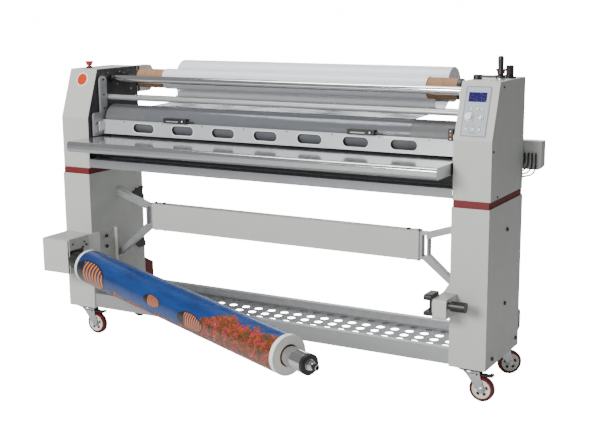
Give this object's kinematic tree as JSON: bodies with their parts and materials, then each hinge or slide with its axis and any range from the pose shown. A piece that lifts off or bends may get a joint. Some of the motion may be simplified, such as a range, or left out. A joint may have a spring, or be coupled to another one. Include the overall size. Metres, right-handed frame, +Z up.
{
  "type": "cold roll laminator",
  "caption": "Floor-standing cold roll laminator on castors with feed table, pressure rollers, supply rolls and a swing-out take-up shaft.",
  "frame": {"origin": "middle of the bounding box in plan, at floor level", "axes": "+X across the machine to the operator's right, +Y from the operator's side to the rear, +Z up"},
  "size_m": [2.1206, 1.335, 1.317],
  "materials": {
    "cream_paint": "light grey powder coat",
    "black_paint": "satin black paint",
    "crimson_paint": "satin crimson paint",
    "silver_aluminium": "brushed and anodised",
    "polished_aluminium": "polished",
    "zinc_steel": "zinc plated",
    "bright_chrome": "polished chrome",
    "grey_rubber": "matte silicone rubber on a steel tube",
    "black_plastic": "moulded, lightly textured",
    "red_plastic": "moulded, glossy",
    "white_plastic": "moulded, glossy",
    "panel_film": "printed overlay",
    "clear_film": "wound clear film",
    "web_film": "single layer of clear film",
    "liner_paper": "wound liner paper",
    "core_board": "spiral-wound board",
    "printed_film": "printed and laminated",
    "red_tread": "hard polyurethane tread on a cream hub",
    "cable_rubber": "matte cable jacket"
  },
  "bodies": {
    "frame": {"columns": "cream_paint", "red_covers": "crimson_paint", "inner_frame": "black_paint", "left_housing": "cream_paint", "right_housing": "cream_paint", "cross_beam": "cream_paint", "beam_brackets": "silver_aluminium", "frame_hardware": "zinc_steel", "tray_rails": "silver_aluminium", "perforated_tray": "zinc_steel", "front_beam": "silver_aluminium", "shaft_supports": "cream_paint", "junction_box": "cream_paint", "sensor_leads": "cable_rubber", "control_panel": "panel_film", "guide_brackets": "silver_aluminium", "web_bars": "silver_aluminium", "drive_motor": "zinc_steel", "takeup_housing": "cream_paint", "latch_bracket": "cream_paint", "film_web": "web_film"},
    "takeup_arm": {"takeup_pivot": "zinc_steel"},
    "takeup_roll": {"takeup_shaft": "bright_chrome", "printed_roll": "printed_film"},
    "latch_pin": {"latch_plunger": "black_plastic"},
    "nip": {"nip_blocks": "zinc_steel"},
    "upper_roller": {"top_roller": "grey_rubber"},
    "lower_roller": {"bottom_roller": "grey_rubber"},
    "crank": {"nip_crank": "black_plastic"},
    "grip": {"crank_grip": "black_plastic"},
    "dial": {"speed_dial": "white_plastic"},
    "selector": {"mode_selector": "white_plastic"},
    "left_stop": {"left_estop": "red_plastic"},
    "right_stop": {"right_estop": "red_plastic"},
    "pressure": {"pressure_knob": "black_plastic"},
    "supply": {"supply_shaft": "black_plastic", "supply_core": "core_board", "supply_film": "clear_film"},
    "rear_spool": {"rear_roll": "liner_paper"},
    "idler": {"chrome_idler": "bright_chrome"},
    "guide": {"guide_bar": "silver_aluminium"},
    "slitter_l": {"left_slitter": "black_plastic"},
    "slitter_r": {"right_slitter": "black_plastic"},
    "table": {"feed_table": "polished_aluminium"},
    "menu_key": {"menu_button": "white_plastic"},
    "up_key": {"up_button": "white_plastic"},
    "down_key": {"down_button": "white_plastic"},
    "run_key": {"run_button": "white_plastic"},
    "reverse_key": {"reverse_button": "white_plastic"},
    "stop_key": {"stop_button": "white_plastic"},
    "front_left_swivel": {"front_left_fork": "zinc_steel"},
    "front_left_roll": {"front_left_wheel": "red_tread"},
    "front_right_swivel": {"front_right_fork": "zinc_steel"},
    "front_right_roll": {"front_right_wheel": "red_tread"},
    "rear_left_swivel": {"rear_left_fork": "zinc_steel"},
    "rear_left_roll": {"rear_left_wheel": "red_tread"},
    "rear_right_swivel": {"rear_right_fork": "zinc_steel"},
    "rear_right_roll": {"rear_right_wheel": "red_tread"},
    "left_pedal": {"left_brake": "black_plastic"},
    "right_pedal": {"right_brake": "black_plastic"}
  },
  "joints": [
    {"name": "takeup_swing", "type": "hinge", "parent": "frame", "child": "takeup_arm", "pos_m": [-1.0157, 0.03457, 0.4], "axis": [0, -0.0976, 0.9952], "range_deg": [0, 22]},
    {"name": "takeup_spin", "type": "hinge", "parent": "takeup_arm", "child": "takeup_roll", "pos_m": [-1.0157, 0.03457, 0.4], "axis": [0.9272, -0.3728, -0.0366], "continuous": true},
    {"name": "latch_push", "type": "slide", "parent": "frame", "child": "latch_pin", "axis": [-1, 0, 0], "range_m": [0, 0.013]},
    {"name": "nip_lift", "type": "slide", "parent": "frame", "child": "nip", "axis": [0, 0, 1], "range_m": [-0.0037, 0.021], "deforming": ["film_web"]},
    {"name": "upper_spin", "type": "hinge", "parent": "nip", "child": "upper_roller", "pos_m": [-0.0317, 0.29957, 0.996], "axis": [1, 0, 0], "continuous": true},
    {"name": "lower_spin", "type": "hinge", "parent": "frame", "child": "lower_roller", "pos_m": [-0.0317, 0.29957, 0.858], "axis": [1, 0, 0], "continuous": true},
    {"name": "crank_turn", "type": "hinge", "parent": "frame", "child": "crank", "pos_m": [0.8653, 0.30957, 1.232], "axis": [0, 0, 1], "range_deg": [-450, 2530]},
    {"name": "grip_spin", "type": "hinge", "parent": "crank", "child": "grip", "pos_m": [0.9563, 0.30957, 1.27], "axis": [0, 0, 1], "continuous": true},
    {"name": "dial_turn", "type": "hinge", "parent": "frame", "child": "dial", "pos_m": [0.8889, 0.16439, 1.09656], "axis": [0, -0.9395, 0.3424], "range_deg": [-135, 135]},
    {"name": "selector_turn", "type": "hinge", "parent": "frame", "child": "selector", "pos_m": [0.9373, 0.16405, 1.09562], "axis": [0, -0.9395, 0.3424], "range_deg": [-45, 45]},
    {"name": "menu_press", "type": "slide", "parent": "frame", "child": "menu_key", "axis": [0, 0.9395, -0.3424], "range_m": [0, 0.001], "stiffness_N_per_m": 300},
    {"name": "up_press", "type": "slide", "parent": "frame", "child": "up_key", "axis": [0, 0.9395, -0.3424], "range_m": [0, 0.001], "stiffness_N_per_m": 300},
    {"name": "down_press", "type": "slide", "parent": "frame", "child": "down_key", "axis": [0, 0.9395, -0.3424], "range_m": [0, 0.001], "stiffness_N_per_m": 300},
    {"name": "run_press", "type": "slide", "parent": "frame", "child": "run_key", "axis": [0, 0.9395, -0.3424], "range_m": [0, 0.001], "stiffness_N_per_m": 300},
    {"name": "reverse_press", "type": "slide", "parent": "frame", "child": "reverse_key", "axis": [0, 0.9395, -0.3424], "range_m": [0, 0.001], "stiffness_N_per_m": 300},
    {"name": "stop_press", "type": "slide", "parent": "frame", "child": "stop_key", "axis": [0, 0.9395, -0.3424], "range_m": [0, 0.001], "stiffness_N_per_m": 300},
    {"name": "left_stop_press", "type": "slide", "parent": "frame", "child": "left_stop", "axis": [0, 0, -1], "range_m": [0, 0.004]},
    {"name": "right_stop_press", "type": "slide", "parent": "frame", "child": "right_stop", "axis": [0, 0, -1], "range_m": [0, 0.004]},
    {"name": "pressure_turn", "type": "hinge", "parent": "frame", "child": "pressure", "pos_m": [0.9593, 0.40957, 1.24], "axis": [0, 0, 1], "range_deg": [-150, 150]},
    {"name": "supply_spin", "type": "hinge", "parent": "frame", "child": "supply", "pos_m": [-0.0317, 0.42457, 1.176], "axis": [1, 0, 0], "continuous": true},
    {"name": "rear_spin", "type": "hinge", "parent": "frame", "child": "rear_spool", "pos_m": [-0.0317, 0.59457, 1.179], "axis": [1, 0, 0], "continuous": true},
    {"name": "idler_spin", "type": "hinge", "parent": "frame", "child": "idler", "pos_m": [-0.0317, 0.31457, 1.178], "axis": [1, 0, 0], "continuous": true},
    {"name": "guide_flip", "type": "hinge", "parent": "frame", "child": "guide", "pos_m": [-0.0317, 0.19957, 0.96], "axis": [1, 0, 0], "range_deg": [0, 70]},
    {"name": "left_slitter_slide", "type": "slide", "parent": "guide", "child": "slitter_l", "axis": [1, 0, 0], "range_m": [-0.25, 0.25]},
    {"name": "right_slitter_slide", "type": "slide", "parent": "guide", "child": "slitter_r", "axis": [1, 0, 0], "range_m": [-0.25, 0.25]},
    {"name": "table_tilt", "type": "hinge", "parent": "frame", "child": "table", "pos_m": [-0.0317, 0.20457, 0.888], "axis": [1, 0, 0], "range_deg": [0, 30]},
    {"name": "front_left_swivel_turn", "type": "hinge", "parent": "frame", "child": "front_left_swivel", "pos_m": [-0.9687, 0.15957, 0.12], "axis": [0, 0, 1], "continuous": true},
    {"name": "front_left_wheel_spin", "type": "hinge", "parent": "front_left_swivel", "child": "front_left_roll", "pos_m": [-0.9227, 0.15957, 0.05], "axis": [0, 1, 0], "continuous": true},
    {"name": "front_right_swivel_turn", "type": "hinge", "parent": "frame", "child": "front_right_swivel", "pos_m": [0.9233, 0.15657, 0.12], "axis": [0, 0, 1], "continuous": true},
    {"name": "front_right_wheel_spin", "type": "hinge", "parent": "front_right_swivel", "child": "front_right_roll", "pos_m": [0.9693, 0.15657, 0.05], "axis": [0, 1, 0], "continuous": true},
    {"name": "rear_left_swivel_turn", "type": "hinge", "parent": "frame", "child": "rear_left_swivel", "pos_m": [-0.9687, 0.48057, 0.12], "axis": [0, 0, 1], "continuous": true},
    {"name": "rear_left_wheel_spin", "type": "hinge", "parent": "rear_left_swivel", "child": "rear_left_roll", "pos_m": [-0.9227, 0.48057, 0.05], "axis": [0, 1, 0], "continuous": true},
    {"name": "rear_right_swivel_turn", "type": "hinge", "parent": "frame", "child": "rear_right_swivel", "pos_m": [0.9233, 0.48457, 0.12], "axis": [0, 0, 1], "continuous": true},
    {"name": "rear_right_wheel_spin", "type": "hinge", "parent": "rear_right_swivel", "child": "rear_right_roll", "pos_m": [0.95854, 0.51414, 0.05], "axis": [-0.6428, 0.766, 0], "continuous": true},
    {"name": "left_brake_press", "type": "hinge", "parent": "front_left_swivel", "child": "left_pedal", "pos_m": [-0.9387, 0.15957, 0.11], "axis": [0, 1, 0], "range_deg": [0, 8]},
    {"name": "right_brake_press", "type": "hinge", "parent": "front_right_swivel", "child": "right_pedal", "pos_m": [0.9533, 0.15657, 0.11], "axis": [0, 1, 0], "range_deg": [0, 8]}
  ],
  "couplings": [
    {"joint": "upper_spin", "follows": "lower_spin", "ratio": -1},
    {"joint": "crank_turn", "follows": "nip_lift", "rad_per_m": 2094.4}
  ]
}
